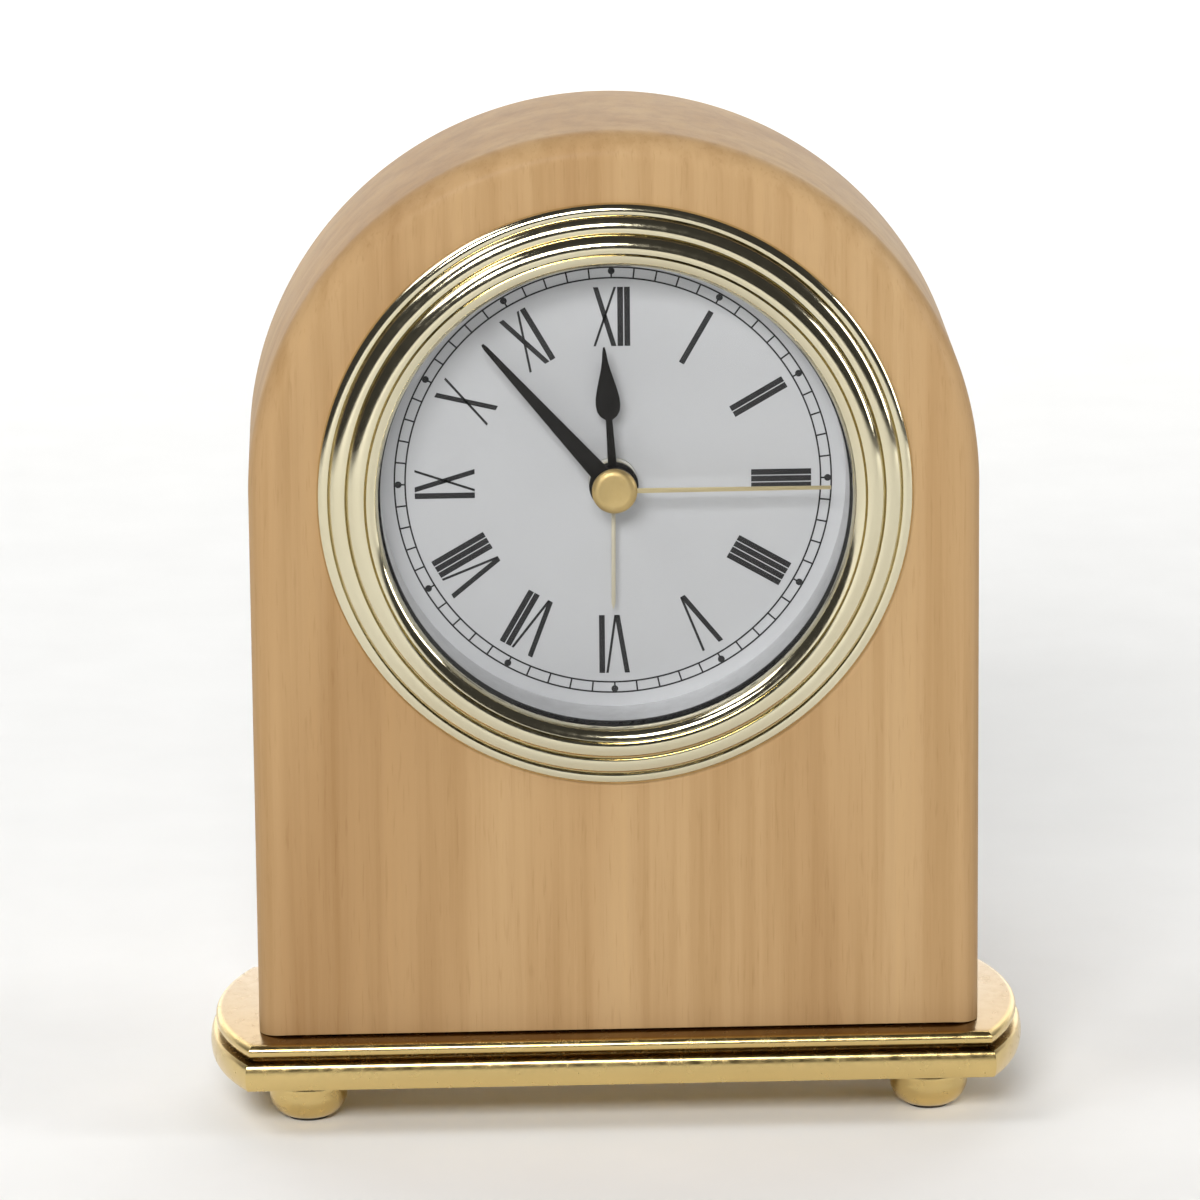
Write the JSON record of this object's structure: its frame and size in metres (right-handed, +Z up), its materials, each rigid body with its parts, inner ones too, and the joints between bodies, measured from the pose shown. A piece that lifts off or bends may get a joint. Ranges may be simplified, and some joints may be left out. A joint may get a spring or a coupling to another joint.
{
  "type": "desk alarm clock",
  "caption": "Arched wooden desk clock on a moulded gold base with bun feet: round gold-rimmed insert with silvery dial, roman numerals, four hands, alarm setting and rear battery door",
  "frame": {"origin": "on the table, under the middle of the clock's bounding box", "axes": "+Z up along the clock's height, -Y is the dial side, +X to the right of someone reading the dial"},
  "size_m": [0.1008, 0.0404, 0.1239],
  "materials": {
    "wood": "clear satin lacquer over light straight-grained hardwood",
    "gold": "polished pale gold plate",
    "base_gold": "polished gold plate, slightly deeper tone",
    "felt": "dense dark felt",
    "steel": "zinc plated steel",
    "glass": "clear flat window",
    "black": "moulded black plastic",
    "rubber": "soft black rubber",
    "silver": "satin silvered metal",
    "dial": "silvery white printed dial",
    "hand_black": "black lacquered blades",
    "hand_gold": "gold lacquered blades",
    "white": "natural moulded plastic",
    "brass": "turned brass",
    "copper": "enamelled copper wire",
    "board": "green laminate",
    "cell": "plain jacket",
    "magnet": "dark ferrite and white pinion"
  },
  "bodies": {
    "case": {"wood_case": "wood", "base_plate": "base_gold", "base_screws": "steel", "foot_pads": "felt", "foot_front_left": "base_gold", "foot_front_right": "base_gold", "foot_rear_left": "base_gold", "foot_rear_right": "base_gold", "bezel": "gold", "lens": "glass", "lens_gasket": "rubber", "dial_wall": "silver", "dial": "dial", "insert_cup": "black", "grip_ring": "rubber", "insert_back": "black", "back_screws": "steel", "battery": "cell", "contact_plus": "steel", "contact_spring": "steel", "movement_plate": "white", "movement_lid": "white", "movement_screws": "steel", "train_bridge": "white", "coil_winding": "copper", "coil_bobbin": "white", "coil_core": "steel", "stator": "steel", "circuit_board": "board", "quartz_can": "steel", "circuit_chip": "black", "sounder": "black"},
    "rotor": {"rotor": "magnet"},
    "intermediate": {"intermediate_wheel": "white"},
    "seconds": {"second_wheel": "white", "second_hand": "hand_gold"},
    "third": {"third_wheel": "white"},
    "centre": {"centre_wheel": "brass"},
    "minutes": {"cannon_pinion": "brass", "minute_hand": "hand_black"},
    "motion": {"motion_wheel": "white"},
    "hours": {"hour_wheel": "white", "hour_hand": "hand_black"},
    "alarm": {"alarm_wheel": "white", "alarm_hand": "hand_gold"},
    "time_knob": {"time_set_knob": "black"},
    "alarm_knob": {"alarm_set_knob": "black"},
    "switch": {"alarm_switch": "black"},
    "door": {"battery_door": "black"}
  },
  "joints": [
    {"name": "seconds_turn", "type": "hinge", "parent": "case", "child": "seconds", "pos_m": [0, 0, 0.0796], "axis": [0, 1, 0], "continuous": true},
    {"name": "centre_turn", "type": "hinge", "parent": "case", "child": "centre", "pos_m": [0, 0, 0.0796], "axis": [0, 1, 0], "continuous": true},
    {"name": "minutes_turn", "type": "hinge", "parent": "case", "child": "minutes", "pos_m": [0, 0, 0.0796], "axis": [0, 1, 0], "continuous": true},
    {"name": "hours_turn", "type": "hinge", "parent": "case", "child": "hours", "pos_m": [0, 0, 0.0796], "axis": [0, 1, 0], "continuous": true},
    {"name": "motion_turn", "type": "hinge", "parent": "case", "child": "motion", "pos_m": [0.0052, 0, 0.0766], "axis": [0, 1, 0], "continuous": true},
    {"name": "third_turn", "type": "hinge", "parent": "case", "child": "third", "pos_m": [0.0056, 0, 0.0852], "axis": [0, 1, 0], "continuous": true},
    {"name": "intermediate_turn", "type": "hinge", "parent": "case", "child": "intermediate", "pos_m": [-0.003, 0, 0.0848], "axis": [0, 1, 0], "continuous": true},
    {"name": "rotor_turn", "type": "hinge", "parent": "case", "child": "rotor", "pos_m": [-0.00755, 0, 0.08742], "axis": [0, 1, 0], "continuous": true},
    {"name": "time_knob_turn", "type": "hinge", "parent": "case", "child": "time_knob", "pos_m": [0.0112, 0, 0.0766], "axis": [0, 1, 0], "continuous": true},
    {"name": "alarm_turn", "type": "hinge", "parent": "case", "child": "alarm", "pos_m": [0, 0, 0.0796], "axis": [0, 1, 0], "continuous": true},
    {"name": "alarm_knob_turn", "type": "hinge", "parent": "case", "child": "alarm_knob", "pos_m": [-0.00858, 0, 0.07689], "axis": [0, 1, 0], "continuous": true},
    {"name": "alarm_switch_slide", "type": "slide", "parent": "case", "child": "switch", "axis": [1, 0, 0], "range_m": [0, 0.003]},
    {"name": "battery_door_open", "type": "hinge", "parent": "case", "child": "door", "pos_m": [0, 0.0138, 0.0628], "axis": [-1, 0, 0], "range_deg": [0, 95]}
  ],
  "couplings": [
    {"joint": "intermediate_turn", "follows": "rotor_turn", "ratio": -0.16667},
    {"joint": "seconds_turn", "follows": "rotor_turn", "ratio": 0.033333},
    {"joint": "third_turn", "follows": "rotor_turn", "ratio": -0.0044444},
    {"joint": "centre_turn", "follows": "rotor_turn", "ratio": 0.00055556},
    {"joint": "motion_turn", "follows": "minutes_turn", "ratio": -0.33333},
    {"joint": "hours_turn", "follows": "minutes_turn", "ratio": 0.083333},
    {"joint": "time_knob_turn", "follows": "minutes_turn", "ratio": 1},
    {"joint": "alarm_turn", "follows": "alarm_knob_turn", "ratio": -0.8}
  ]
}
